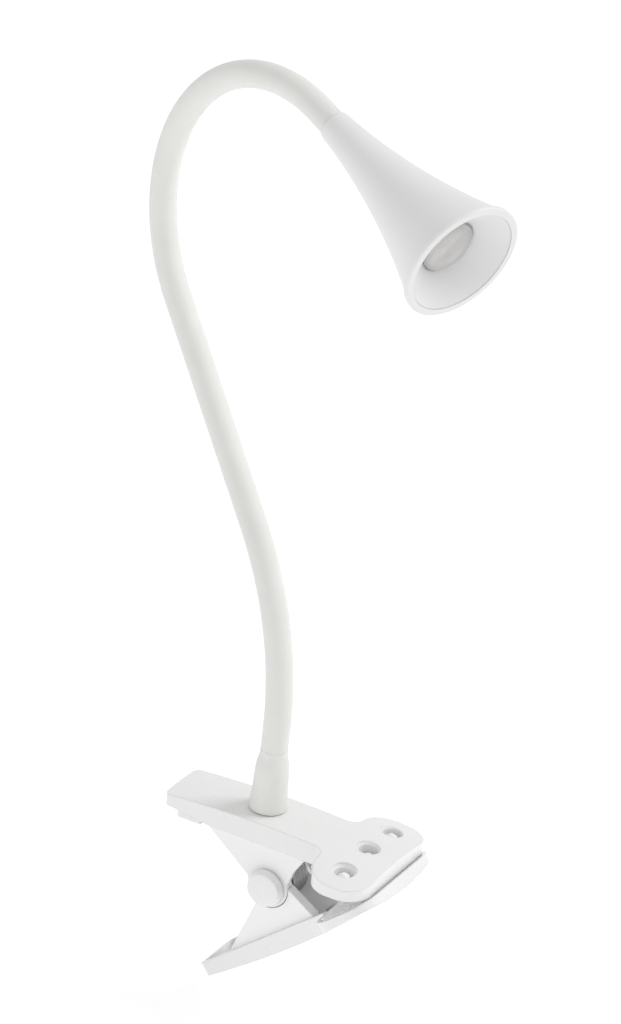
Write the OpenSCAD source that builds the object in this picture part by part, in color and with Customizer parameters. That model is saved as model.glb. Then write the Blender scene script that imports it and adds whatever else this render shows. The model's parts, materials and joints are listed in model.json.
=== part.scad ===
// Clip-on reading lamp: a spring clamp, a sleeved gooseneck and a trumpet head.
// Millimetres, +Z up. The origin is the centre of the upper jaw's gripping face,
// +X runs along the clamp to the jaw tip and +Y across it.

/* [Clamp] */
// Distance from the gooseneck's axis forward to the centre of the jaw
neck_reach = 44.3; // [40:0.1:60]
// Distance from the gooseneck's axis back to the end of the handle
handle_back = 38.4; // [30:0.1:60]
// Width of both handles
handle_w = 24.4; // [18:0.2:34]
// Length of the hammerhead jaw along the clamp
jaw_len = 24.4; // [20:0.2:40]
// Width of the upper jaw
jaw_w = 59.2; // [44:0.2:80]
// Width of the lower jaw
lower_jaw_w = 57; // [44:0.2:80]
// Length of the lower jaw along its lever
lower_jaw_len = 28.9; // [20:0.1:40]
// Corner radius of the jaws
jaw_corner_r = 10.8; // [6:0.2:12]
// Hollow radius where the handle widens into the jaw
root_fillet_r = 4.9; // [3:0.1:8]
// Radius of the upper plate's curve along the clamp
arch_r = 500; // [300:10:900]
// Radius of the jaws' curve across the clamp
crown_r = 130; // [100:5:300]
// Radius of the lower lever's belly along the clamp
belly_r = 435; // [300:10:900]
// Moulded wall thickness of the two covers
wall = 1.7; // [1.2:0.1:2.5]

/* [Hinge] */
// Hinge axis, forward of the gooseneck's axis
hinge_x = 8.7; // [5:0.1:20]
// Hinge axis, below the plate
hinge_drop = 26.9; // [20:0.1:35]
// Angle between the jaws when the clamp is shut
shut_angle = 39.8; // [30:0.1:45]
// Hinge axis to the rim of the lower lever, square to the lever
lever_drop = 17.5; // [14:0.1:22]
// Radius of the hinge pin
pin_r = 3; // [2:0.1:4]
// Diameter of the hinge caps at their foot
cap_d = 15; // [12:0.2:20]
// Wire diameter of the torsion spring
spring_wire_d = 1.7; // [1.2:0.1:2.2]
// Mean radius of the torsion spring's coil
spring_r = 8.2; // [6:0.1:9]

/* [Jaw holes] */
// Distance between neighbouring holes in the jaw
hole_gap = 18.7; // [14:0.1:24]
// Diameter of the wells at the plate
hole_rim_d = 9.6; // [7:0.1:12]
// Diameter inside the wells
hole_d = 7.8; // [5:0.1:10]

/* [Gooseneck] */
// Straight rise from the clamp
rise = 36.7; // [30:0.1:60]
// Radius of the backward bend
back_bend_r = 116.4; // [80:0.1:160]
// Angle of the backward bend
back_bend = 38.7; // [20:0.1:60]
// Straight run between the two bends
run = 90; // [60:0.1:120]
// Radius of the forward bend
top_bend_r = 63.9; // [50:0.1:100]
// Angle of the forward bend
top_bend = 146.3; // [120:0.1:170]
// Straight end before the head
tail = 9; // [5:0.1:20]
// Turn of the gooseneck's plane about the clamp's vertical
neck_turn = -21.4; // [-45:0.1:45]
// Diameter of the silicone sleeve
sleeve_d = 10.5; // [9:0.1:13]
// Wall of the silicone sleeve
sleeve_wall = 0.95; // [0.8:0.05:1.5]
// Diameter of the core links
core_d = 7.2; // [6:0.1:8]
// Height of the collar at the foot of the gooseneck
collar_h = 20; // [15:1:30]
// Diameter of the collar at its foot
collar_d = 15.4; // [14:0.1:20]

/* [Head] */
// Length of the head along its axis
head_len = 78.2; // [60:0.1:100]
// Diameter of the head's mouth over its rim
rim_d = 48; // [40:0.2:60]
// Diameter of the head where it meets the gooseneck
throat_d = 12.2; // [11:0.1:16]
// Slope of the head's side at the throat, in degrees
throat_slope = 4.5; // [2:0.5:10]
// Radius of the flare of the head's side
flare_r = 275; // [200:5:400]
// Wall of the head shell
shade_wall = 1.7; // [1.2:0.1:2.5]
// Width of the rim ring seen from the front
rim_w = 3; // [2:0.1:5]
// Diameter of the lens
lens_d = 21.4; // [16:0.2:28]
// Depth of the lens seat behind the rim
lens_depth = 9; // [6:0.1:14]
// Height of the lens dome
lens_dome_h = 5; // [3:0.1:8]

/* [Hidden] */
$fn = 96;
round_fn = 360;
eps = 0.01;
slip = 0.15;
fit_gap = 0.05;
part_gap = 0.35;
seam_gap = 0.04;
seam_len = 1.2;

handle_half = handle_w / 2;
jaw_back_x = neck_reach - jaw_len / 2;
jaw_front_x = neck_reach + jaw_len / 2;
arch_x = 6;

// Levels below the plate
skirt_rear_z = -6.7;
skirt_z = -9.6;
frame_top_z = -6.8;
frame_z = -8.6;
grip_z = -9.9;
frame_back = 17;
skirt_step_x = -19;

// Cheeks, measured across the clamp
cheek_out_y = handle_half - wall - slip;
cheek_t = 2;
lower_cheek_in_y = cheek_out_y - 2 * cheek_t - part_gap;
hub_r = 8.6;
cheek_top_z = 18.9;

// Lower lever, in its own frame: hinge axis at the origin, rim level
lever_back_x = -46.9;
lever_front_x = 50.1;
lever_depth = 8.2;
lower_pad_rise = 0.5;
belly_x = -2.2;
lower_hole_gap = 17;

// Hinge pin and caps
pin_half = cheek_out_y + 1.6;
cap_r = cap_d / 2;
cap_stand = 1.1;
cap_rim_t = 0.6;
cap_side_h = 2.2;
cap_face_r = 6.7;
cap_dome_h = 0.8;

// Gooseneck path: lengths of its five runs
back_len = back_bend_r * back_bend * PI / 180;
top_len = top_bend_r * top_bend * PI / 180;
end_1 = rise;
end_2 = end_1 + back_len;
end_3 = end_2 + run;
end_4 = end_3 + top_len;
neck_len = end_4 + tail;
joint_count = 11;
neck_foot = frame_z - 3.6;
first_pivot = 28;
last_pivot = neck_len - 14;
pitch = (last_pivot - first_pivot) / (joint_count - 1);
core_r = core_d / 2;
ball_r = core_r + 0.35;
dish_r = ball_r + 0.09;
lead_r = 1.5;
sleeve_r = sleeve_d / 2;

// Head
throat_r = throat_d / 2;
rim_r = rim_d / 2;
mouth_r = rim_r - rim_w;
lens_r = lens_d / 2;
lens_seat_z = head_len - lens_depth;
sink_r = 13.4;
sink_z = 55;
board_z = 62;
board_t = 1.6;

// ---------------------------------------------------------------- frames

// Clamp frame: origin where the gooseneck's axis meets the plate.
module at_clamp() translate([-neck_reach, 0, -grip_z]) children();

// Hinge frame: clamp directions, origin on the hinge axis.
module at_hinge() at_clamp() translate([hinge_x, 0, -hinge_drop]) children();

// Lever frame: the lower lever's own directions, origin on the hinge axis.
module at_lever() at_hinge() rotate([0, -shut_angle, 0]) children();

// Heading of the gooseneck at path length u, from vertical toward the front.
function heading(u) =
    u <= end_1 ? 0 :
    u <= end_2 ? -(u - end_1) / back_bend_r * 180 / PI :
    u <= end_3 ? -back_bend :
    u <= end_4 ? -back_bend + (u - end_3) / top_bend_r * 180 / PI :
    top_bend - back_bend;

// Places along the path, as [forward, up] in the gooseneck's own plane.
function along(p, a, d) = [p[0] + d * sin(a), p[1] + d * cos(a)];
function turned(p, a0, a1, r) =
    [p[0] + r * (cos(a0) - cos(a1)), p[1] + r * (sin(a1) - sin(a0))];
p_1 = [0, rise];
p_2 = turned(p_1, 0, -back_bend, -back_bend_r);
p_3 = along(p_2, -back_bend, run);
p_4 = turned(p_3, -back_bend, top_bend - back_bend, top_bend_r);
function place(u) =
    u <= end_1 ? [0, u] :
    u <= end_2 ? turned(p_1, 0, heading(u), -back_bend_r) :
    u <= end_3 ? along(p_2, -back_bend, u - end_2) :
    u <= end_4 ? turned(p_3, -back_bend, heading(u), top_bend_r) :
    along(p_4, top_bend - back_bend, u - end_4);

// Neck frame at path length u: +Z along the path, +X in its plane.
module at_neck(u) {
    at_clamp() rotate([0, 0, neck_turn])
        translate([place(u)[0], 0, place(u)[1]]) rotate([0, heading(u), 0]) children();
}

// Head frame: origin at the throat, +Z toward the mouth.
module at_head() at_neck(neck_len) children();

// Ring section of a tube, or a full disc when the bore is nothing.
module tube_section(r, bore_r) {
    difference() {
        circle(r, $fn = 48);
        if (bore_r > 0) circle(bore_r, $fn = 48);
    }
}

// A bent tube from the neck frame's origin; a positive radius bends forward.
module bent_tube(r, bore_r, bend_r, angle) {
    rotate([0, 0, bend_r > 0 ? 180 : 0])
        translate([-abs(bend_r), 0, 0]) rotate([90, 0, 0])
            rotate_extrude(angle = angle, $fn = round_fn)
                translate([abs(bend_r), 0]) tube_section(r, bore_r);
}

// The stretch of a straight run, or of a bend, that lies between u0 and u1. Inside the
// stretch each run stops just short of the next, and a seam band joins the two.
module straight_run(u0, u1, from, to, r, bore_r) {
    a = u0 < from ? from + seam_gap : u0;
    b = u1 > to ? to - seam_gap : u1;
    if (b - a > eps) at_neck(a) linear_extrude(b - a) tube_section(r, bore_r);
}
module bend_run(u0, u1, from, to, bend_r, r, bore_r) {
    a = u0 < from ? from + seam_gap : u0;
    b = u1 > to ? to - seam_gap : u1;
    if (b - a > eps) at_neck(a)
        bent_tube(r, bore_r, bend_r, (b - a) / abs(bend_r) * 180 / PI);
}
module seam_band(u0, u1, u, r, bore_r) {
    if (u0 < u && u < u1) at_neck(u) translate([0, 0, -seam_len / 2])
        linear_extrude(seam_len) tube_section(r + seam_gap, bore_r - seam_gap);
}

// Tube along the gooseneck's path from u0 to u1.
module path_tube(u0, u1, r, bore_r) {
    straight_run(u0, u1, neck_foot, end_1, r, bore_r);
    bend_run(u0, u1, end_1, end_2, -back_bend_r, r, bore_r);
    straight_run(u0, u1, end_2, end_3, r, bore_r);
    bend_run(u0, u1, end_3, end_4, top_bend_r, r, bore_r);
    straight_run(u0, u1, end_4, neck_len, r, bore_r);
    for (u = [end_1, end_2, end_3, end_4]) seam_band(u0, u1, u, r, bore_r);
}

// ---------------------------------------------------------------- shared shapes

// Rounded rectangle from x0 to x1, centred across.
module rounded_plan(x0, x1, half, r) {
    translate([x0 + r, -half]) square([x1 - x0 - 2 * r, 2 * half]);
    translate([x0, r - half]) square([x1 - x0, 2 * (half - r)]);
    for (x = [x0 + r, x1 - r], s = [-1, 1]) translate([x, s * (half - r)]) circle(r);
}

// Plan of a lever: a handle that widens through hollow corners into a hammerhead.
module lever_plan(back, jaw0, jaw1, half, jaw_half, inset) {
    fillet = root_fillet_r + inset;
    x0 = back + inset;
    xj = jaw0 + inset;
    y = half - inset;
    corner = 2.6;
    rounded_plan(xj, jaw1 - inset, jaw_half - inset, jaw_corner_r - inset);
    rounded_plan(x0, xj + jaw_corner_r, y, corner);
    for (s = [0, 1]) mirror([0, s]) difference() {
        translate([xj - fillet, y - 1]) square([fillet + 1, fillet + 1]);
        translate([xj - fillet, y + fillet]) circle(fillet);
    }
}

// Solid with a double-curved top that peaks at z = 0, above x = peak_x.
module crowned_top(peak_x, along_r, drop) {
    translate([peak_x, 0, -along_r - drop]) rotate([90, 0, 0])
        rotate_extrude($fn = round_fn)
            translate([along_r - crown_r, 0]) circle(crown_r, $fn = round_fn);
}

// Side outline drawn in X and Z, cut through the whole width.
module across(w) {
    translate([0, w / 2, 0]) rotate([90, 0, 0]) linear_extrude(w) children();
}

// Cross-headed screw, its top face at z = 0 and its shank running down.
module screw(len, r) {
    head_r = 1.9 * r;
    head_h = 1.2 * r;
    slot_w = 0.45 * r;
    difference() {
        union() {
            translate([0, 0, -head_h]) cylinder(h = head_h, r = head_r);
            translate([0, 0, -len]) cylinder(h = len, r = r);
        }
        for (a = [0, 90]) rotate([0, 0, a])
            translate([-head_r * 0.7, -slot_w / 2, -head_h * 0.6])
                cube([head_r * 1.4, slot_w, head_h]);
    }
}

// ---------------------------------------------------------------- upper lever

screw_places = [[-11, 0], [25, 5.6], [25, -5.6]];
screw_r = 1.25;

// Side outline of the upper cover: flat under the jaw, tapering up to the handle's end.
module cover_side() {
    polygon([[-handle_back - 1, skirt_rear_z], [skirt_step_x, skirt_z + 0.3],
        [jaw_front_x + 1, skirt_z], [jaw_front_x + 1, 1], [-handle_back - 1, 1]]);
}

module cover_plan(inset) {
    lever_plan(-handle_back, jaw_back_x, jaw_front_x, handle_half, jaw_w / 2, inset);
}

module upper_cover() {
    well_r = hole_d / 2 + 1.1;
    color([0.95, 0.96, 0.96]) at_clamp() difference() {
        union() {
            difference() {
                intersection() {
                    translate([0, 0, skirt_z - 1]) linear_extrude(-skirt_z + 2) cover_plan(0);
                    crowned_top(arch_x, arch_r, 0);
                    across(jaw_w + 2) cover_side();
                }
                intersection() {
                    translate([0, 0, skirt_z - 2]) linear_extrude(-skirt_z + 2) cover_plan(wall);
                    crowned_top(arch_x, arch_r - wall, wall);
                }
            }
            // wells around the jaw holes, bosses for the screws and for the neck
            intersection() {
                union() {
                    for (s = [-1, 0, 1]) translate([neck_reach, s * hole_gap, frame_top_z + slip])
                        cylinder(h = -frame_top_z, r = well_r);
                    for (p = screw_places) translate([p[0], p[1], frame_top_z + slip])
                        cylinder(h = -frame_top_z, r = screw_r * 2);
                    translate([0, 0, frame_top_z + slip]) cylinder(h = -frame_top_z, r = sleeve_r + 2);
                }
                crowned_top(arch_x, arch_r - wall / 2, wall / 2);
            }
        }
        for (s = [-1, 0, 1]) translate([neck_reach, s * hole_gap, 0]) {
            drop = pow(s * hole_gap, 2) / (2 * crown_r) + pow(neck_reach - arch_x, 2) / (2 * arch_r);
            rim_h = 1.1;
            translate([0, 0, skirt_z]) cylinder(h = -skirt_z + 1, d = hole_d);
            translate([0, 0, -drop - rim_h]) cylinder(h = rim_h, d1 = hole_d, d2 = hole_rim_d);
            translate([0, 0, -drop - eps]) cylinder(h = 3, d = hole_rim_d);
        }
        for (p = screw_places) translate([p[0], p[1], frame_top_z - 1]) cylinder(h = 5, r = screw_r);
        translate([0, 0, skirt_z]) cylinder(h = -skirt_z + 1, r = sleeve_r + slip);
    }
}

// Cheek outline above the hinge, in the hinge frame.
module upper_cheek_side() {
    circle(hub_r);
    polygon([[-28.8, cheek_top_z], [-28.8, 17.3], [-9.2, 2], [-6, -6], [7, -5],
        [8.2, 3.4], [10.2, 9.6], [14.2, 16.2], [14.2, cheek_top_z]]);
}

module upper_frame() {
    plate_t = frame_top_z - frame_z;
    inset = wall + slip;
    color([0.93, 0.94, 0.94]) at_clamp() difference() {
        union() {
            translate([0, 0, frame_z]) linear_extrude(plate_t)
                lever_plan(-frame_back, jaw_back_x, jaw_front_x, handle_half, jaw_w / 2, inset);
            translate([hinge_x, 0, -hinge_drop]) for (s = [-1, 1])
                translate([0, s * (cheek_out_y - cheek_t / 2), 0]) across(cheek_t) upper_cheek_side();
        }
        translate([hinge_x, cheek_out_y + 1, -hinge_drop]) rotate([90, 0, 0])
            cylinder(h = 2 * cheek_out_y + 2, r = pin_r + 0.02);
        for (s = [-1, 0, 1]) translate([neck_reach, s * hole_gap, frame_z - 1])
            cylinder(h = plate_t + 2, r = 1.5);
        for (p = screw_places) translate([p[0], p[1], frame_z - 1])
            cylinder(h = plate_t + 2, r = screw_r + fit_gap);
        translate([0, 0, frame_z - 1]) cylinder(h = plate_t + 2, r = core_r + slip);
    }
}

// Studs of the pads: a stem through the plate and a small head.
module pad_studs(gap, stem, head_z, head_r) {
    for (s = [-1, 0, 1]) translate([0, s * gap, 0]) {
        cylinder(h = head_z + 1.2, r = stem);
        translate([0, 0, head_z]) cylinder(h = 1.6, r = head_r);
        translate([0, 0, head_z + 1.6]) cylinder(h = 0.9, r1 = head_r, r2 = head_r * 0.45);
    }
}

module upper_pad() {
    inset = 2;
    pad_t = frame_z - grip_z;
    color([0.86, 0.88, 0.88]) at_clamp() {
        difference() {
            translate([0, 0, grip_z]) linear_extrude(pad_t)
                rounded_plan(jaw_back_x + inset, jaw_front_x - inset, jaw_w / 2 - inset,
                    jaw_corner_r - inset);
            for (i = [-4:4]) translate([neck_reach + i * 2 - 0.35, -jaw_w / 2, grip_z - eps])
                cube([0.7, jaw_w, 0.4]);
        }
        translate([neck_reach, 0, grip_z + 0.5])
            pad_studs(hole_gap, 1.4, frame_top_z - grip_z - 0.4, 2.2);
    }
}

module cover_screws() {
    color([0.7, 0.71, 0.72]) at_clamp() for (p = screw_places)
        translate([p[0], p[1], frame_z - 0.1 - screw_r * 1.2]) mirror([0, 0, 1])
            screw(5.4, screw_r - fit_gap / 2);
}

// Block under the handle that holds the cord; its bore is the cord's inlet.
module cord_gland() {
    block = [10.8, 18, 5.2];
    bore_r = 2.3;
    x0 = -34.2;
    color([0.9, 0.91, 0.91]) at_clamp() difference() {
        union() {
            translate([x0, 0, -12.3]) linear_extrude(block[2])
                rounded_plan(0, block[0], block[1] / 2, 1.2);
            translate([x0 + 2, -5, -12.3]) cube([block[0] - 4, 10, 8.9]);
        }
        translate([x0 - 1, 0, -9.3]) rotate([0, 90, 0]) cylinder(h = block[0] + 2, r = bore_r);
        translate([x0 - 1, -handle_w, skirt_rear_z - 0.9]) rotate([0, 7, 0])
            difference() {
                cube([block[0] + 4, 2 * handle_w, 6]);
                translate([2, handle_w - 5.2, -1]) cube([block[0], 10.4, 8]);
            }
    }
}

// ---------------------------------------------------------------- lower lever

module lower_plan(inset) {
    lever_plan(lever_back_x, lever_front_x - lower_jaw_len, lever_front_x, handle_half - 0.1,
        lower_jaw_w / 2, inset);
}

// Hollow of the lower cover above its rim level, shrunk by a gap on every wall.
module lower_cavity(gap) {
    intersection() {
        translate([0, 0, -lever_depth - 1]) linear_extrude(lever_depth + 2) lower_plan(wall + gap);
        mirror([0, 0, 1]) crowned_top(belly_x, belly_r - wall - gap, wall + gap - lever_depth);
    }
}

// Everything below the rim level that lies outside the hollow, to trim inner parts.
module outside_cavity() {
    difference() {
        translate([-60, -40, -lever_depth - 2]) cube([120, 80, lever_depth + 2]);
        lower_cavity(seam_gap);
    }
}

module lower_cover() {
    color([0.95, 0.96, 0.96]) at_lever() translate([0, 0, -lever_drop]) difference() {
        intersection() {
            translate([0, 0, -lever_depth - 1]) linear_extrude(lever_depth + 1) lower_plan(0);
            mirror([0, 0, 1]) crowned_top(belly_x, belly_r, -lever_depth);
        }
        lower_cavity(0);
        for (p = lower_screw_places) translate([p[0], p[1], -lever_depth + 0.8])
            cylinder(h = 4, r = screw_r);
    }
}

lower_screw_places = [[-22, 0], [14, 0]];
lower_floor_z = -4.2;
lower_plate_t = 1.5;
cheek_rear_x = -31;
cheek_front_x = 12.2;

// Cheek outline below the hinge, in the lever frame.
module lower_cheek_side() {
    polygon([[-9, -4.2], [cheek_rear_x, -lever_drop + 0.4], [cheek_rear_x, -lever_drop - 2.6],
        [cheek_front_x, -lever_drop - 2.6], [cheek_front_x, -lever_drop + 0.2],
        [8, -4.6], [5, 4], [-5, 4]]);
}

module lower_frame() {
    inner_y = lower_cheek_in_y;
    color([0.93, 0.94, 0.94]) at_lever() difference() {
        union() {
            translate([0, 0, -lever_drop + lower_floor_z]) linear_extrude(lower_plate_t)
                lever_plan(lever_back_x + 13, lever_front_x - lower_jaw_len, lever_front_x,
                    handle_half - 0.1, lower_jaw_w / 2, wall + slip);
            for (s = [-1, 1]) {
                // inner layer carries the hinge bore
                translate([0, s * (inner_y + cheek_t / 2), 0]) across(cheek_t) union() {
                    circle(hub_r - 0.3);
                    lower_cheek_side();
                }
                // outer layer is flush with the upper cheeks and clears their hubs
                difference() {
                    translate([0, s * (cheek_out_y - (cheek_t + part_gap) / 2), 0])
                        across(cheek_t + part_gap) lower_cheek_side();
                    rotate([90, 0, 0]) cylinder(h = handle_w, r = hub_r + part_gap, center = true);
                }
                translate([cheek_rear_x, s * (inner_y + cheek_out_y) / 2, -lever_drop])
                    translate([0, -(cheek_out_y - inner_y) / 2, lower_floor_z + eps])
                        cube([cheek_front_x - cheek_rear_x, cheek_out_y - inner_y, 2.4]);
            }
        }
        translate([0, 0, -lever_drop]) outside_cavity();
        rotate([90, 0, 0]) cylinder(h = handle_w, r = pin_r + fit_gap, center = true);
        for (p = lower_screw_places) translate([p[0], p[1], -lever_drop + lower_floor_z - 1])
            cylinder(h = 4, r = screw_r + fit_gap);
        for (s = [-1, 0, 1]) translate([lever_front_x - jaw_len / 2, s * lower_hole_gap,
            -lever_drop + lower_floor_z - 1]) cylinder(h = 4, r = 1.5);
    }
}

module lower_pad() {
    front_inset = 3.4;
    side_inset = 2;
    floor_z = lower_floor_z + lower_plate_t;
    color([0.86, 0.88, 0.88]) at_lever() translate([0, 0, -lever_drop]) {
        difference() {
            translate([0, 0, floor_z]) linear_extrude(lower_pad_rise - floor_z)
                rounded_plan(lever_front_x - lower_jaw_len + side_inset, lever_front_x - front_inset,
                    lower_jaw_w / 2 - side_inset, jaw_corner_r - side_inset);
            for (i = [-4:4]) translate([lever_front_x - jaw_len / 2 + i * 2 - 0.7,
                -lower_jaw_w / 2, lower_pad_rise - 0.4]) cube([0.7, lower_jaw_w, 1]);
            outside_cavity();
        }
        difference() {
            for (s = [-1, 0, 1]) translate([lever_front_x - jaw_len / 2, s * lower_hole_gap,
                lower_floor_z]) cylinder(h = 2.2, r = 1.4);
            outside_cavity();
        }
    }
}

module lower_screws() {
    color([0.7, 0.71, 0.72]) at_lever() for (p = lower_screw_places)
        translate([p[0], p[1], -lever_drop + lower_floor_z + lower_plate_t + 1.6])
            screw(6.1, screw_r - fit_gap / 2);
}

// ---------------------------------------------------------------- hinge

module hinge_pin() {
    color([0.72, 0.73, 0.74]) at_hinge() rotate([90, 0, 0])
        cylinder(h = 2 * pin_half, r = pin_r, center = true);
}

// Cap pressed on an end of the pin: a tapered side and a slightly domed face. It
// stands just off the cheek.
module hinge_cap() {
    side_z = cap_stand + cap_rim_t;
    face_z = side_z + cap_side_h;
    dome_r = (pow(cap_face_r, 2) + pow(cap_dome_h, 2)) / (2 * cap_dome_h);
    neck_r = pin_r + 1.9;
    color([0.96, 0.96, 0.96]) difference() {
        union() {
            cylinder(h = side_z, r = neck_r);
            translate([0, 0, cap_stand]) cylinder(h = cap_rim_t, r = cap_r);
            translate([0, 0, side_z]) cylinder(h = cap_side_h, r1 = cap_r, r2 = cap_face_r);
            intersection() {
                translate([0, 0, face_z + cap_dome_h - dome_r]) sphere(dome_r, $fn = round_fn);
                translate([0, 0, face_z]) cylinder(h = cap_dome_h + 1, r = cap_face_r);
            }
        }
        translate([0, 0, -1]) cylinder(h = 1 + pin_half - cheek_out_y + 0.1, r = pin_r + 0.02);
    }
}
module hinge_cap_near() at_hinge() translate([0, -cheek_out_y - 0.05, 0]) rotate([90, 0, 0]) hinge_cap();
module hinge_cap_far() at_hinge() translate([0, cheek_out_y + 0.05, 0]) rotate([-90, 0, 0]) hinge_cap();

// Arm of the spring: leaves the coil toward the handles and spreads from the lever's line.
module spring_arm(spread, len) {
    rotate([0, spread, 0]) translate([0, 0, -spring_r]) rotate([0, -90, 0])
        cylinder(h = len, d = spring_wire_d - 0.1, $fn = 32);
}

// Torsion spring around the pin; its two arms press the handles apart.
module torsion_spring() {
    coils = 6;
    coil_pitch = spring_wire_d - 0.12;
    y0 = (coils - 1) / 2 * coil_pitch;
    arm_len = 25;
    arm_spread = 20;
    color([0.55, 0.56, 0.58]) {
        at_hinge() {
            for (i = [0:coils - 1]) translate([0, i * coil_pitch - y0, 0]) rotate([90, 0, 0])
                rotate_extrude() translate([spring_r, 0]) circle(d = spring_wire_d, $fn = 32);
            mirror([0, 0, 1]) translate([0, y0, 0]) spring_arm(-arm_spread, arm_len);
        }
        at_lever() translate([0, -y0, 0]) spring_arm(-arm_spread, arm_len);
    }
}

// ---------------------------------------------------------------- gooseneck

module neck_collar() {
    top_d = collar_d - 2.4;
    foot_z = 0.12;
    color([0.9, 0.91, 0.89]) at_clamp() difference() {
        union() {
            translate([0, 0, foot_z]) cylinder(h = collar_h - 1.5, d1 = collar_d, d2 = top_d);
            translate([0, 0, foot_z + collar_h - 1.5]) cylinder(h = 1.5, d1 = top_d, d2 = sleeve_d + 0.9);
        }
        translate([0, 0, -1]) cylinder(h = collar_h + 3, r = sleeve_r + 0.03);
    }
}

// Hexagonal nut that holds the foot of the gooseneck under the frame.
module neck_nut() {
    nut_t = 3;
    color([0.72, 0.73, 0.74]) at_clamp() translate([0, 0, frame_z - nut_t - 0.05]) difference() {
        cylinder(h = nut_t, d = 11, $fn = 6);
        translate([0, 0, -1]) cylinder(h = nut_t + 2, r = core_r - 0.4 + 0.02);
    }
}

// Pivot number n of the gooseneck, counted from the clamp.
function pivot_u(n) = first_pivot + (n - 1) * pitch;

// Ball around a pivot, with a mouth for the wires that clears the link's own tube.
module pivot_ball(n) {
    at_neck(pivot_u(n)) difference() {
        sphere(ball_r);
        translate([0, 0, -ball_r - 1]) cylinder(h = 2 * ball_r + 2, r = lead_r + 0.7);
    }
}

// Foot of the core: a threaded stub in the clamp, dished at the first pivot.
module neck_root() {
    color([0.6, 0.61, 0.63]) difference() {
        union() {
            path_tube(frame_z, pivot_u(1), core_r, lead_r);
            path_tube(neck_foot, frame_z + 1, core_r - 0.4, lead_r + 0.1);
        }
        at_neck(pivot_u(1)) sphere(dish_r);
    }
}

// Core link number n: a ball on its own pivot, a dish around the next one.
module neck_core(n) {
    color([0.6, 0.61, 0.63]) difference() {
        union() {
            path_tube(pivot_u(n), pivot_u(n + 1), core_r, lead_r);
            pivot_ball(n);
        }
        at_neck(pivot_u(n + 1)) sphere(dish_r);
    }
}

// Sleeve section number n, centred on pivot n.
module neck_sleeve(n) {
    u0 = n == 1 ? 0.2 : pivot_u(n) - pitch / 2 + fit_gap;
    u1 = n == joint_count ? neck_len - 0.1 : pivot_u(n) + pitch / 2 - fit_gap;
    color([0.9, 0.91, 0.89]) path_tube(u0, u1, sleeve_r, sleeve_r - sleeve_wall);
}

// Last link: a ball on the last pivot and a threaded end inside the head.
module head_stem() {
    thread_len = 14;
    color([0.6, 0.61, 0.63]) {
        path_tube(pivot_u(joint_count), neck_len, core_r, lead_r);
        pivot_ball(joint_count);
        at_head() translate([0, 0, -1.5]) linear_extrude(thread_len + 1.5)
            tube_section(core_r - 0.4, lead_r + 0.1);
    }
}

// ---------------------------------------------------------------- head

// Half outline of the trumpet, thinned by inset, from z0 to z1 along the axis.
module trumpet_half(inset, z0, z1) {
    centre_r = throat_r + flare_r * cos(throat_slope);
    centre_z = -flare_r * sin(throat_slope);
    difference() {
        translate([0, z0]) square([rim_r, z1 - z0]);
        translate([centre_r, centre_z]) circle(flare_r + inset, $fn = round_fn);
    }
}

// Outer radius of the trumpet at height z.
function trumpet_r(z) = throat_r + flare_r * cos(throat_slope)
    - sqrt(pow(flare_r, 2) - pow(z + flare_r * sin(throat_slope), 2));

lip_t = 2.4;
seat_z = 7;

module shade() {
    color([0.96, 0.96, 0.96]) at_head() difference() {
        rotate_extrude($fn = 128) trumpet_half(0, 0, head_len - lip_t);
        rotate_extrude($fn = 128) trumpet_half(shade_wall, seat_z, head_len);
        translate([0, 0, -1]) cylinder(h = seat_z + 2, r = core_r - 0.4 + slip);
    }
}

// Ring that closes the mouth and stands slightly proud of the shell.
module rim_ring() {
    lip_r = trumpet_r(head_len - lip_t);
    spigot_r = trumpet_r(head_len - lip_t - 2) - shade_wall - 0.1;
    color([0.97, 0.97, 0.97]) at_head() translate([0, 0, head_len - lip_t]) rotate_extrude($fn = 128)
        difference() {
            union() {
                translate([0, eps]) square([rim_r - 0.7, lip_t - eps]);
                translate([0, 0.7]) square([rim_r, lip_t - 1.4]);
                translate([rim_r - 0.7, 0.7]) circle(0.7 - eps);
                translate([rim_r - 0.7, lip_t - 0.7]) circle(0.7);
                translate([0, -2]) square([spigot_r, 2.1]);
                translate([0, eps]) square([lip_r, 1]);
            }
            translate([-1, -3]) square([mouth_r + 1, lip_t + 4]);
        }
}

// White cone from the rim down to the lens.
module reflector() {
    t = 1.1;
    seat_r = lens_r + 0.4;
    top_z = head_len - 0.2;
    color([0.98, 0.98, 0.98]) at_head() rotate_extrude($fn = 128) polygon([
        [seat_r, lens_seat_z], [mouth_r - fit_gap, top_z], [mouth_r - fit_gap, top_z - 2],
        [seat_r + t, lens_seat_z - 1.2], [seat_r + t, board_z + board_t + 0.1],
        [seat_r, board_z + board_t + 0.1]]);
}

module lens() {
    edge_t = 1.8;
    dome_r = (pow(lens_r - 0.6, 2) + pow(lens_dome_h, 2)) / (2 * lens_dome_h);
    color([0.85, 0.9, 0.92, 0.5]) at_head() translate([0, 0, lens_seat_z - 1.4]) {
        translate([0, 0, -edge_t]) cylinder(h = edge_t, r = lens_r);
        intersection() {
            translate([0, 0, lens_dome_h - dome_r]) sphere(dome_r, $fn = 128);
            cylinder(h = lens_dome_h + 1, r = lens_r - 0.6);
        }
    }
}

// Ring that clips the lens in the reflector.
module lens_ring() {
    color([0.3, 0.31, 0.33]) at_head() translate([0, 0, lens_seat_z - 1.3]) difference() {
        cylinder(h = 1.2, r = lens_r + 0.3);
        translate([0, 0, -1]) cylinder(h = 4, r = lens_r - 0.5);
    }
}

module led_chip() {
    size = 5;
    color([0.95, 0.85, 0.4]) at_head() translate([-size / 2, -size / 2, board_z + board_t + 0.02])
        cube([size, size, 0.8]);
}

board_screw_r = 7.2;

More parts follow.
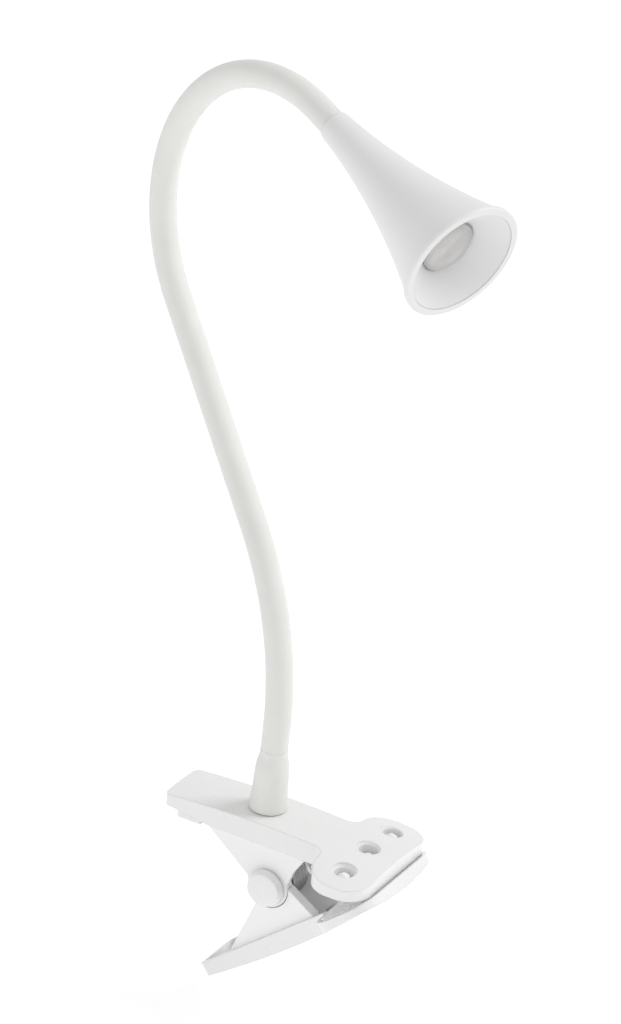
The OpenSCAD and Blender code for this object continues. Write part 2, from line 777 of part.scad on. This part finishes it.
module led_board() {
    color([0.9, 0.91, 0.9]) at_head() translate([0, 0, board_z]) difference() {
        cylinder(h = board_t, r = sink_r - 0.6);
        for (s = [-1, 1]) translate([s * board_screw_r, 0, -1]) cylinder(h = board_t + 2, r = 1.1);
    }
}

module board_screws() {
    color([0.7, 0.71, 0.72]) at_head() for (s = [-1, 1])
        translate([s * board_screw_r, 0, board_z + board_t + 0.05 + 1.2]) screw(6, 1);
}

// Turned aluminium sink with cooling grooves, screwed behind the board.
module heat_sink() {
    sink_h = board_z - sink_z;
    color([0.75, 0.76, 0.77]) at_head() translate([0, 0, sink_z]) difference() {
        cylinder(h = sink_h - 0.02, r = sink_r);
        for (i = [0:1]) translate([0, 0, 1.2 + i * 2.6]) difference() {
            cylinder(h = 1.3, r = sink_r + 1);
            cylinder(h = 1.3, r = sink_r - 3);
        }
        translate([0, 0, -1]) cylinder(h = 3, r = sink_r - 5);
        for (s = [-1, 1]) translate([s * board_screw_r, 0, sink_h - 5]) cylinder(h = 6, r = 1.02);
        translate([0, 0, -1]) cylinder(h = sink_h + 2, r = 2.6);
    }
}

// Nut on the threaded end of the neck, inside the head.
module head_nut() {
    nut_t = 3.2;
    color([0.72, 0.73, 0.74]) at_head() translate([0, 0, seat_z + 0.05]) difference() {
        cylinder(h = nut_t, d = 9.8, $fn = 6);
        translate([0, 0, -1]) cylinder(h = nut_t + 2, r = core_r - 0.4 + 0.02);
    }
}

// Two wires from the end of the neck, through the sink, to the back of the board.
module head_wires() {
    wire_r = 0.6;
    start_z = 14.5;
    color([0.8, 0.2, 0.2]) at_head() for (s = [-1, 1])
        translate([0, s * 0.75, start_z]) cylinder(h = board_z - start_z - 0.02, r = wire_r, $fn = 24);
}

upper_cover();
upper_frame();
upper_pad();
cover_screws();
lower_cover();
lower_frame();
lower_pad();
lower_screws();
hinge_pin();
hinge_cap_near();
hinge_cap_far();
torsion_spring();
neck_collar();
neck_nut();
cord_gland();
neck_root();
neck_core(1);  // neck_core_01
neck_core(2);  // neck_core_02
neck_core(3);  // neck_core_03
neck_core(4);  // neck_core_04
neck_core(5);  // neck_core_05
neck_core(6);  // neck_core_06
neck_core(7);  // neck_core_07
neck_core(8);  // neck_core_08
neck_core(9);  // neck_core_09
neck_core(10);  // neck_core_10
neck_sleeve(1);  // neck_sleeve_01
neck_sleeve(2);  // neck_sleeve_02
neck_sleeve(3);  // neck_sleeve_03
neck_sleeve(4);  // neck_sleeve_04
neck_sleeve(5);  // neck_sleeve_05
neck_sleeve(6);  // neck_sleeve_06
neck_sleeve(7);  // neck_sleeve_07
neck_sleeve(8);  // neck_sleeve_08
neck_sleeve(9);  // neck_sleeve_09
neck_sleeve(10);  // neck_sleeve_10
neck_sleeve(11);  // neck_sleeve_11
head_stem();
head_nut();
shade();
rim_ring();
reflector();
lens();
lens_ring();
led_chip();
led_board();
board_screws();
heat_sink();
head_wires();
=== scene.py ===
import json
import math

import bpy
from mathutils import Matrix, Vector


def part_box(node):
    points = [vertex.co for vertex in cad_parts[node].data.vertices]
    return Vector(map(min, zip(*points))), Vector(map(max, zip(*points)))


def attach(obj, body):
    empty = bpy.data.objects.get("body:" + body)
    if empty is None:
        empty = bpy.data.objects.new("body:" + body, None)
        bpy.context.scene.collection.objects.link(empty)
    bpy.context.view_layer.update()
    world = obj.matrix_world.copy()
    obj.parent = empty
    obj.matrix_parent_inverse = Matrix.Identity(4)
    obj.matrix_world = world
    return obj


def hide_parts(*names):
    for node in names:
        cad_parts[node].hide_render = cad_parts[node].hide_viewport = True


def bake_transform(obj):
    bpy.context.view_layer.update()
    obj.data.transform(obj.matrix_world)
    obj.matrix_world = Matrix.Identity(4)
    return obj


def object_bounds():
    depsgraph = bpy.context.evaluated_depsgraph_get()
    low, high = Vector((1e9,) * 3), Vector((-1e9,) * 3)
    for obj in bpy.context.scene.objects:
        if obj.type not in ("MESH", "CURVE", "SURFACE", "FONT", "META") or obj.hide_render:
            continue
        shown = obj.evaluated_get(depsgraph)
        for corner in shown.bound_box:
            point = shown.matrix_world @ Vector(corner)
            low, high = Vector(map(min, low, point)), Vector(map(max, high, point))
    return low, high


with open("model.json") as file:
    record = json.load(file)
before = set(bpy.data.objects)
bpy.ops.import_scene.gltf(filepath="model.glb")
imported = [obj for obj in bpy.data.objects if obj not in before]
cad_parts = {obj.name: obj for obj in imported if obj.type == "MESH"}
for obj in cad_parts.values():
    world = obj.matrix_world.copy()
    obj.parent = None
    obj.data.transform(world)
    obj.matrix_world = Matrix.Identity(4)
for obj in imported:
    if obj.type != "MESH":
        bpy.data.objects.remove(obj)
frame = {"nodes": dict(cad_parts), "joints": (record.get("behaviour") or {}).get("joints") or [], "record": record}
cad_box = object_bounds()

MM = 0.001

# ---------------------------------------------------------------- camera

AZIMUTH = math.radians(26.7)
ELEVATION = math.radians(26.0)
ROLL = math.radians(6.3)
DISTANCE = 1.95
LENS_MM = 180.4
SENSOR_MM = 36
# Middle of the picture from the gooseneck's foot, along the picture's own right and up
AIM_RIGHT = 0.01615
AIM_UP = 0.1121

# The gooseneck's path starts in the middle of its collar, level with the upper lever's top
NECK_FOOT_Z = 0.0099
collar_low, collar_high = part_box("neck_collar")
neck_foot = Vector(((collar_low.x + collar_high.x) / 2, (collar_low.y + collar_high.y) / 2,
                    NECK_FOOT_Z))


def make_camera():
    """Camera at the photograph's angle, with its small roll."""
    level_right = Vector((math.cos(AZIMUTH), math.sin(AZIMUTH), 0))
    back = Vector((math.sin(AZIMUTH) * math.cos(ELEVATION),
                   -math.cos(AZIMUTH) * math.cos(ELEVATION), math.sin(ELEVATION)))
    level_up = back.cross(level_right)
    right = level_right * math.cos(ROLL) + level_up * math.sin(ROLL)
    up = level_up * math.cos(ROLL) - level_right * math.sin(ROLL)
    data = bpy.data.cameras.new("camera")
    data.lens = LENS_MM
    data.sensor_width = SENSOR_MM
    camera = bpy.data.objects.new("camera", data)
    bpy.context.scene.collection.objects.link(camera)
    turn = Matrix((right, up, back)).transposed().to_4x4()
    place = neck_foot + right * AIM_RIGHT + up * AIM_UP + back * DISTANCE
    camera.matrix_world = Matrix.Translation(place) @ turn
    bpy.context.scene.camera = camera


# ---------------------------------------------------------------- node helpers

BEVEL_SAMPLES = 6


class Finish:
    """A material under construction: its nodes, its links and its main shader."""

    def __init__(self, name, **sockets):
        self.material = bpy.data.materials.new(name)
        self.material.use_nodes = True
        self.nodes = self.material.node_tree.nodes
        self.links = self.material.node_tree.links
        self.shader = self.nodes["Principled BSDF"]
        for socket, value in sockets.items():
            self.shader.inputs[socket.replace("_", " ")].default_value = value
        self.place = self.nodes.new("ShaderNodeTexCoord").outputs["Object"]

    def add(self, kind, settings=None, **sockets):
        """A new node; a socket's value is a number, a colour or another node's output."""
        node = self.nodes.new(kind)
        for key, value in (settings or {}).items():
            setattr(node, key, value)
        for key, value in sockets.items():
            socket = node.inputs[key.replace("_", " ")]
            if isinstance(value, bpy.types.NodeSocket):
                self.links.new(value, socket)
            else:
                socket.default_value = value
        return node

    def noise(self, scale, detail, stretch=(1, 1, 1)):
        """Noise with a feature about 1/scale metres across."""
        moved = self.add("ShaderNodeMapping", Scale=stretch, Vector=self.place)
        return self.add("ShaderNodeTexNoise", Scale=scale, Detail=detail,
                        Vector=moved.outputs["Vector"]).outputs["Fac"]

    def colour(self, factor, low, high, at=(0.35, 0.65)):
        """Base colour that runs from low to high as factor rises."""
        ramp = self.add("ShaderNodeValToRGB", Fac=factor)
        stops = ramp.color_ramp.elements
        for stop, position, tone in zip(stops, at, (low, high)):
            stop.position = position
            stop.color = (*tone, 1)
        self.links.new(ramp.outputs["Color"], self.shader.inputs["Base Color"])

    def roughness(self, factor, low, high):
        """Roughness that runs from low to high as factor rises."""
        spread = self.add("ShaderNodeMapRange", Value=factor, To_Min=low, To_Max=high)
        self.links.new(spread.outputs["Result"], self.shader.inputs["Roughness"])

    def bump(self, height, depth, edge=0.0):
        """Relief of that depth in metres; edge rounds the corners to that radius."""
        node = self.add("ShaderNodeBump", Strength=1.0, Distance=depth, Height=height)
        if edge:
            rounded = self.add("ShaderNodeBevel", {"samples": BEVEL_SAMPLES}, Radius=edge)
            self.links.new(rounded.outputs["Normal"], node.inputs["Normal"])
        self.links.new(node.outputs["Normal"], self.shader.inputs["Normal"])


def shade(tone, amount):
    """The tone, lighter or darker by a factor."""
    return tuple(min(1.0, channel * amount) for channel in tone)


# ---------------------------------------------------------------- materials

METAL_EDGE = 0.15 * MM


def moulded(name, tone, rough, grain=2200, grain_depth=6e-6, edge=0.45 * MM):
    """Injection-moulded plastic: fine spark texture, faint flow marks, rounded edges."""
    made = Finish(name)
    flow = made.noise(14, 2, stretch=(1, 2.2, 1))
    made.colour(flow, shade(tone, 0.985), shade(tone, 1.01))
    made.roughness(made.noise(60, 4), rough - 0.04, rough + 0.05)
    made.bump(made.noise(grain, 2), grain_depth, edge)
    return made.material


def metal(name, tone, rough, stretch=(1, 1, 1), scratch=1.5e-6):
    """Bare metal: faint stains, and fine scratches drawn out along the unstretched axes."""
    made = Finish(name, Metallic=1.0)
    streaks = made.noise(900, 4, stretch=stretch)
    stain = made.noise(90, 3)
    made.colour(stain, shade(tone, 0.86), shade(tone, 1.05))
    made.roughness(streaks, rough - 0.08, rough + 0.12)
    made.bump(streaks, scratch, METAL_EDGE)
    return made.material


def neck_silicone():
    """Matt silicone sleeve: soft, a little translucent, with faint dust and stretch marks."""
    made = Finish("neck_silicone", Subsurface_Weight=0.12, Subsurface_Scale=0.002,
                  Subsurface_Radius=(1.0, 0.9, 0.8), Sheen_Weight=0.06, Specular_IOR_Level=0.4)
    made.shader.subsurface_method = "BURLEY"
    tone = (0.80, 0.798, 0.775)
    made.colour(made.noise(35, 4), shade(tone, 0.98), shade(tone, 1.015))
    made.roughness(made.noise(240, 3), 0.46, 0.6)
    made.bump(made.noise(1300, 5), 1.2e-5)
    return made.material


def pad_silicone():
    """Soft grip pad: cloudy silicone with a faint bloom."""
    made = Finish("pad_silicone", Subsurface_Weight=0.15, Subsurface_Scale=0.0012,
                  Subsurface_Radius=(1.0, 0.95, 0.9), Sheen_Weight=0.05, IOR=1.41)
    made.shader.subsurface_method = "BURLEY"
    tone = (0.93, 0.935, 0.93)
    made.colour(made.noise(120, 3), shade(tone, 0.95), shade(tone, 1.02))
    made.roughness(made.noise(400, 3), 0.38, 0.55)
    made.bump(made.noise(900, 2), 3e-6, 0.25 * MM)
    return made.material


def lens_clear():
    """Hazy clear acrylic with the faintest moulding ripple."""
    made = Finish("lens_clear", Transmission_Weight=0.5, IOR=1.49, Coat_Weight=0.6,
                  Coat_Roughness=0.03)
    made.colour(made.noise(200, 2), (0.8, 0.79, 0.775), (0.84, 0.83, 0.815))
    made.roughness(made.noise(500, 2), 0.05, 0.09)
    made.bump(made.noise(160, 1), 4e-6)
    return made.material


def led_phosphor():
    """Yellow phosphor with a fine granular surface."""
    made = Finish("led_yellow")
    grains = made.add("ShaderNodeTexVoronoi", Scale=5200, Vector=made.place).outputs["Distance"]
    made.colour(grains, (0.86, 0.66, 0.12), (0.93, 0.78, 0.24), at=(0.1, 0.7))
    made.roughness(grains, 0.5, 0.75)
    made.bump(grains, 2e-5, 0.1 * MM)
    return made.material


def board_white():
    """White solder mask over the faint weave of the board."""
    made = Finish("board_white", Coat_Weight=0.3, Coat_Roughness=0.2)
    weave = made.add("ShaderNodeTexChecker", Scale=2600, Vector=made.place).outputs["Fac"]
    made.colour(weave, (0.80, 0.81, 0.79), (0.83, 0.84, 0.82))
    made.roughness(made.noise(300, 3), 0.35, 0.5)
    made.bump(weave, 6e-6, 0.12 * MM)
    return made.material


def wire_red():
    """Extruded PVC with faint draw lines along the wire."""
    made = Finish("wire_red")
    made.colour(made.noise(300, 3), (0.55, 0.035, 0.03), (0.68, 0.06, 0.05))
    made.roughness(made.noise(500, 3), 0.3, 0.45)
    made.bump(made.noise(2500, 2, stretch=(1, 1, 0.1)), 5e-6)
    return made.material


def make_materials():
    """One finish for each material slot of the record."""
    return {
        "clamp_plastic": moulded("clamp_plastic", (0.875, 0.878, 0.873), 0.27),
        "frame_plastic": moulded("frame_plastic", (0.94, 0.942, 0.937), 0.38, grain_depth=5e-6),
        "pad_silicone": pad_silicone(),
        "screw_steel": metal("screw_steel", (0.62, 0.62, 0.61), 0.3),
        "spring_steel": metal("spring_steel", (0.42, 0.42, 0.43), 0.33, scratch=3e-6),
        "neck_silicone": neck_silicone(),
        "core_steel": metal("core_steel", (0.5, 0.5, 0.51), 0.36),
        "head_shell": moulded("head_shell", (0.82, 0.82, 0.818), 0.36, grain_depth=5e-6),
        "reflector_white": moulded("reflector_white", (0.8, 0.8, 0.808), 0.3, grain=900,
                                   grain_depth=4e-6, edge=0.25 * MM),
        "lens_clear": lens_clear(),
        "lens_ring_grey": moulded("lens_ring_grey", (0.5, 0.5, 0.51), 0.3, edge=0.3 * MM),
        "led_yellow": led_phosphor(),
        "board_white": board_white(),
        "sink_aluminium": metal("sink_aluminium", (0.74, 0.75, 0.76), 0.32, stretch=(1, 1, 6)),
        "wire_red": wire_red(),
    }


# ---------------------------------------------------------------- mesh helpers


def mesh_object(name, points, faces, sharp_edges=()):
    """A smooth-shaded mesh object; sharp_edges are pairs of point numbers."""
    mesh = bpy.data.meshes.new(name)
    mesh.from_pydata([tuple(p) for p in points], [], faces)
    mesh.validate()
    mesh.polygons.foreach_set("use_smooth", [True] * len(mesh.polygons))
    hard = {tuple(sorted(pair)) for pair in sharp_edges}
    for edge in mesh.edges:
        if tuple(sorted(edge.vertices)) in hard:
            edge.use_edge_sharp = True
    made = bpy.data.objects.new(name, mesh)
    bpy.context.scene.collection.objects.link(made)
    return made


def skin(name, rings, sharp_rings=(), around_again=False, capped=False):
    """Mesh over rings of points; around_again joins the last ring to the first."""
    count = len(rings[0])
    points = [p for ring in rings for p in ring]
    faces = []
    for i in range(len(rings) if around_again else len(rings) - 1):
        j = (i + 1) % len(rings)
        for k in range(count):
            m = (k + 1) % count
            faces.append((i * count + k, i * count + m, j * count + m, j * count + k))
    if capped:
        last = (len(rings) - 1) * count
        faces.append(tuple(range(count))[::-1])
        faces.append(tuple(range(last, last + count)))
    sharp = [(i * count + k, i * count + (k + 1) % count)
             for i in sharp_rings for k in range(count)]
    return mesh_object(name, points, faces, sharp)


def smooth_line(knots, steps):
    """Catmull-Rom curve through the knots, steps points to each stretch."""
    ends = [2 * Vector(knots[0]) - Vector(knots[1]), *map(Vector, knots),
            2 * Vector(knots[-1]) - Vector(knots[-2])]
    line = []
    for a, b, c, d in zip(ends, ends[1:], ends[2:], ends[3:]):
        for i in range(steps):
            t = i / steps
            line.append((2 * b + (c - a) * t + (2 * a - 5 * b + 4 * c - d) * t * t
                         + (3 * b - a - 3 * c + d) * t ** 3) / 2)
    return line + [Vector(knots[-1])]


# ---------------------------------------------------------------- gooseneck's path

# The path's own dimensions, as in the CAD model
NECK_TURN = math.radians(-21.4)
RISE = 36.7 * MM
BACK_BEND_R = 116.4 * MM
BACK_BEND = math.radians(38.7)
RUN = 90 * MM
TOP_BEND_R = 63.9 * MM
TOP_BEND = math.radians(146.3)
TAIL = 9 * MM
SLEEVE_R = 5.25 * MM
SLEEVE_WALL = 0.95 * MM

END_1 = RISE
END_2 = END_1 + BACK_BEND_R * BACK_BEND
END_3 = END_2 + RUN
END_4 = END_3 + TOP_BEND_R * TOP_BEND
NECK_LEN = END_4 + TAIL


def heading(u):
    """Tilt of the path at length u, from upright toward the front."""
    if u <= END_1:
        return 0.0
    if u <= END_2:
        return -(u - END_1) / BACK_BEND_R
    if u <= END_3:
        return -BACK_BEND
    return -BACK_BEND + min(u - END_3, END_4 - END_3) / TOP_BEND_R


def run_on(start, tilt, length):
    return start + Vector((math.sin(tilt), math.cos(tilt))) * length


def bend_on(start, tilt_0, tilt_1, radius):
    return start + Vector((math.cos(tilt_0) - math.cos(tilt_1),
                           math.sin(tilt_1) - math.sin(tilt_0))) * radius


POINT_1 = Vector((0, RISE))
POINT_2 = bend_on(POINT_1, 0, -BACK_BEND, -BACK_BEND_R)
POINT_3 = run_on(POINT_2, -BACK_BEND, RUN)
POINT_4 = bend_on(POINT_3, -BACK_BEND, TOP_BEND - BACK_BEND, TOP_BEND_R)


def flat_place(u):
    """Place at length u as (forward, up) in the gooseneck's own plane."""
    if u <= END_1:
        return Vector((0, u))
    if u <= END_2:
        return bend_on(POINT_1, 0, heading(u), -BACK_BEND_R)
    if u <= END_3:
        return run_on(POINT_2, -BACK_BEND, u - END_2)
    if u <= END_4:
        return bend_on(POINT_3, -BACK_BEND, heading(u), TOP_BEND_R)
    return run_on(POINT_4, TOP_BEND - BACK_BEND, u - END_4)


def neck_frame(u):
    """Frame at length u: +Z along the path, +X in its plane."""
    forward, height = flat_place(u)
    return (Matrix.Translation(neck_foot) @ Matrix.Rotation(NECK_TURN, 4, "Z")
            @ Matrix.Translation((forward, 0, height)) @ Matrix.Rotation(heading(u), 4, "Y"))


def circle_in(place, radius, count):
    """Ring of points round a frame's +Z."""
    return [place @ Vector((radius * math.cos(2 * math.pi * k / count),
                            radius * math.sin(2 * math.pi * k / count), 0)) for k in range(count)]


def in_metres(points):
    """(radius, height) points in millimetres as vectors in metres."""
    return [Vector(p) * MM for p in points]


def turned(name, place, profile, count, sharp=(), solid=False):
    """Shape turned about a frame's +Z from (radius, height) points: a ring, or a capped solid."""
    rings = [circle_in(place @ Matrix.Translation((0, 0, z)), r, count) for r, z in profile]
    return skin(name, rings, sharp_rings=sharp, around_again=not solid, capped=solid)


# ---------------------------------------------------------------- gooseneck's pieces

FIRST_PIVOT = 28 * MM
LAST_PIVOT = NECK_LEN - 14 * MM
PIVOTS = 11
PITCH = (LAST_PIVOT - FIRST_PIVOT) / (PIVOTS - 1)
TURNED_SIDES = 96
RING_STEP = 1.0 * MM
SLEEVE_SIDES = 64
SLEEVE_FOOT_GAP = 0.2 * MM
SLEEVE_HEAD_GAP = 0.1 * MM
BOOT_TOP = 25.6 * MM
BOOT_FOOT = 0.12 * MM
BOOT_FIT = 0.02 * MM


def pivot(n):
    """Length along the path of joint n."""
    return FIRST_PIVOT + (n - 1) * PITCH


def make_sleeve(n):
    """Silicone sleeve between the middles of two links, round joint n."""
    low = SLEEVE_FOOT_GAP if n == 1 else pivot(n) - PITCH / 2
    high = NECK_LEN - SLEEVE_HEAD_GAP if n == PIVOTS else pivot(n) + PITCH / 2
    steps = math.ceil((high - low) / RING_STEP)
    lengths = [low + (high - low) * i / steps for i in range(steps + 1)]
    outer = [circle_in(neck_frame(u), SLEEVE_R, SLEEVE_SIDES) for u in lengths]
    inner = [circle_in(neck_frame(u), SLEEVE_R - SLEEVE_WALL, SLEEVE_SIDES)
             for u in reversed(lengths)]
    made = skin(f"sleeve_{n:02d}", outer + inner, around_again=True,
                sharp_rings=(0, steps, steps + 1, 2 * steps + 1))
    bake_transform(made)
    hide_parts(f"neck_sleeve_{n:02d}")
    return made


def make_boot():
    """Silicone boot round the gooseneck's foot: flared base, soft shoulder, thin lip."""
    bore = SLEEVE_R + BOOT_FIT
    knots = [(6.8, 0.12), (7.4, 0.45), (7.62, 1.2), (7.45, 2.7), (7.04, 5.5), (6.75, 10),
             (6.6, 15.2), (6.34, 18.4), (5.88, 20.8), (5.52, 22.6), (5.335, 24.1), (5.29, 25.6)]
    outside = in_metres(smooth_line(knots, steps=8))
    profile = outside + [(bore, BOOT_TOP), (bore, BOOT_FOOT)]
    made = turned("neck_boot", Matrix.Translation(neck_foot), profile, TURNED_SIDES,
                  sharp=(len(outside), len(outside) + 1))
    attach(made, "clamp_body")
    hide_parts("neck_collar")
    return made


# ---------------------------------------------------------------- torsion spring


def sweep(name, line, radius, count=20):
    """Round wire along a line of points, closed at both ends."""
    rings = []
    side = Vector((0, 1, 0))
    for i, point in enumerate(line):
        ahead = line[min(i + 1, len(line) - 1)] - line[max(i - 1, 0)]
        along = ahead.normalized()
        side = (side - along * side.dot(along)).normalized()
        over = along.cross(side)
        rings.append([point + (side * math.cos(2 * math.pi * k / count)
                               + over * math.sin(2 * math.pi * k / count)) * radius
                      for k in range(count)])
    return skin(name, rings, sharp_rings=(0, len(rings) - 1), capped=True)


WIRE_R = 0.8 * MM
COIL_R = 8.2 * MM
COIL_PITCH = 1.66 * MM
COIL_TURNS = 5
COIL_STEPS = 48
# Extra room at each end of the coil before its arm
COIL_END_GAP = 0.15 * MM
SPRING_ARM = 25 * MM
ARM_SPREAD = math.radians(20)
# Angle between the jaws when the clamp is shut, as in the CAD model
SHUT_ANGLE = math.radians(39.8)


def make_spring():
    """Torsion spring: a helix round the pin whose two arms press the handles apart."""
    hinge = next(j for j in frame["joints"] if j["name"] == "clamp_hinge")
    centre = Vector(hinge["pos_m"])
    # Angles about +Y, from straight up toward the front; both arms leave backward
    upper = ARM_SPREAD
    lower = math.pi - SHUT_ANGLE - ARM_SPREAD
    sweep_angle = 2 * math.pi * COIL_TURNS - upper + lower
    y_0 = COIL_TURNS * COIL_PITCH / 2 + COIL_END_GAP

    def on_coil(angle, y):
        return centre + Vector((math.sin(angle) * COIL_R, y, math.cos(angle) * COIL_R))

    def arm_end(angle, y, sign):
        along = Vector((math.cos(angle), 0, -math.sin(angle))) * sign
        return on_coil(angle, y) + along * SPRING_ARM

    steps = COIL_STEPS * COIL_TURNS
    shares = [i / steps for i in range(steps + 1)]
    coil = [on_coil(upper + sweep_angle * t, y_0 - 2 * y_0 * t) for t in shares]
    line = [arm_end(upper, y_0, -1), *coil, arm_end(lower, -y_0, 1)]
    made = sweep("spring_coil", line, WIRE_R)
    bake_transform(made)
    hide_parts("torsion_spring")
    return made


# ---------------------------------------------------------------- hinge caps


def make_cap(node, turn):
    """Cap of the hinge pin: a hub, a rounded foot, a tapered side and a soft dome.

    turn is the angle about +X that points the dome outward from its lever."""
    low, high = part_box(node)
    foot = high.y if turn > 0 else low.y
    place = (Matrix.Translation(((low.x + high.x) / 2, foot, (low.z + high.z) / 2))
             @ Matrix.Rotation(turn, 4, "X"))
    knots = [(6.9, 1.1), (7.36, 1.2), (7.5, 1.5), (7.42, 2.0), (7.06, 3.0), (6.84, 3.65),
             (6.6, 4.05), (6.1, 4.28), (5.0, 4.44), (3.4, 4.6), (1.6, 4.69), (0.06, 4.7)]
    hub = [(0.06, 0), (4.9, 0), (4.9, 1.1)]
    profile = in_metres(hub + smooth_line(knots, steps=6))
    made = turned(f"{node}_round", place, profile, TURNED_SIDES, sharp=(1, 2), solid=True)
    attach(made, "clamp_body")
    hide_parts(node)
    return made


# ---------------------------------------------------------------- lens

# From the gooseneck's end, along the head, to the edge of the dome
LENS_SEAT = 69.2 * MM
LENS_SIDES = 128


def lens_frame():
    """Frame in the middle of the lens, with +Z out of the head's mouth."""
    return neck_frame(NECK_LEN) @ Matrix.Translation((0, 0, LENS_SEAT))


def make_lens():
    """Clear dome that fills the foot of the reflector, from its flat back to its crown."""
    knots = [(10.3, -3.2), (10.5, -2.6), (10.56, -1.2), (10.56, -0.3), (10.3, 0.45), (9.6, 1.25),
             (8.3, 2.15), (6.4, 3.0), (4.2, 3.62), (2.1, 3.95), (0.05, 4.05)]
    made = turned("lens_dome", lens_frame(), in_metres(smooth_line(knots, steps=6)), LENS_SIDES,
                  sharp=(0,), solid=True)
    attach(made, "head")
    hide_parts("lens")
    return made


def make_lens_ring():
    """Slim rounded ring between the dome and the reflector."""
    profile = [(10.62, -1.3), (10.62, -0.15), (10.7, 0.02), (10.85, 0.08), (10.98, 0.0),
               (11.03, -0.15), (11.03, -1.3)]
    made = turned("lens_clip", lens_frame(), in_metres(profile), LENS_SIDES)
    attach(made, "head")
    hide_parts("lens_ring")
    return made


# ---------------------------------------------------------------- stage

WORLD_LIGHT = 0.68
FLOOR_GLOW = 0.62
FLOOR_SIZE = 30.0
FLOOR_DROP = 0.004
# Place from the middle of the lamp, size, and power in watts
SOFTBOXES = {"key": ((1.1, 1.0, 1.5), (0.9, 0.9), 17),
             "fill": ((-1.0, -1.6, 0.5), (1.4, 1.2), 1.8)}


def softbox(name, place, target, size, watts):
    """Rectangular area light that faces its target."""
    data = bpy.data.lights.new(name, "AREA")
    data.shape = "RECTANGLE"
    data.size, data.size_y = size
    data.energy = watts
    light = bpy.data.objects.new(name, data)
    bpy.context.scene.collection.objects.link(light)
    light.location = place
    light.rotation_mode = "QUATERNION"
    light.rotation_quaternion = (place - target).to_track_quat("Z", "Y")


def make_stage():
    """Pale paper floor, even room light and two softboxes."""
    low, high = cad_box
    middle = (low + high) / 2
    mesh = bpy.data.meshes.new("floor")
    half = FLOOR_SIZE / 2
    corners = [(x * half, y * half, low.z - FLOOR_DROP)
               for x, y in ((-1, -1), (1, -1), (1, 1), (-1, 1))]
    mesh.from_pydata(corners, [], [(0, 1, 2, 3)])
    floor = bpy.data.objects.new("floor", mesh)
    bpy.context.scene.collection.objects.link(floor)
    paper = Finish("floor_paper", Emission_Strength=FLOOR_GLOW, Emission_Color=(1, 1, 1, 1))
    paper.colour(paper.noise(6, 2), (0.5, 0.5, 0.5), (0.52, 0.52, 0.52))
    paper.roughness(paper.noise(20, 2), 0.85, 0.95)
    floor.data.materials.append(paper.material)

    world = bpy.data.worlds.new("studio")
    world.use_nodes = True
    sky = world.node_tree.nodes["Background"]
    sky.inputs["Color"].default_value = (1, 1, 1, 1)
    sky.inputs["Strength"].default_value = WORLD_LIGHT
    bpy.context.scene.world = world
    for name, (place, size, watts) in SOFTBOXES.items():
        softbox(name, middle + Vector(place), middle, size, watts)
    bpy.context.scene.view_settings.view_transform = "Standard"


# ---------------------------------------------------------------- build

make_camera()
make_stage()
finishes = make_materials()

slot_of = {part["node"]: part["material_slot"] for part in frame["record"]["subparts"]}
for node, piece in frame["nodes"].items():
    piece.data.materials.clear()
    piece.data.materials.append(finishes[slot_of[node]])

for slot_name, made in [("neck_silicone", make_boot()), ("spring_steel", make_spring()),
                        ("lens_clear", make_lens()), ("lens_ring_grey", make_lens_ring()),
                        ("clamp_plastic", make_cap("hinge_cap_near", math.pi / 2)),
                        ("clamp_plastic", make_cap("hinge_cap_far", -math.pi / 2)),
                        *[("neck_silicone", make_sleeve(n)) for n in range(1, PIVOTS + 1)]]:
    made.data.materials.append(finishes[slot_name])
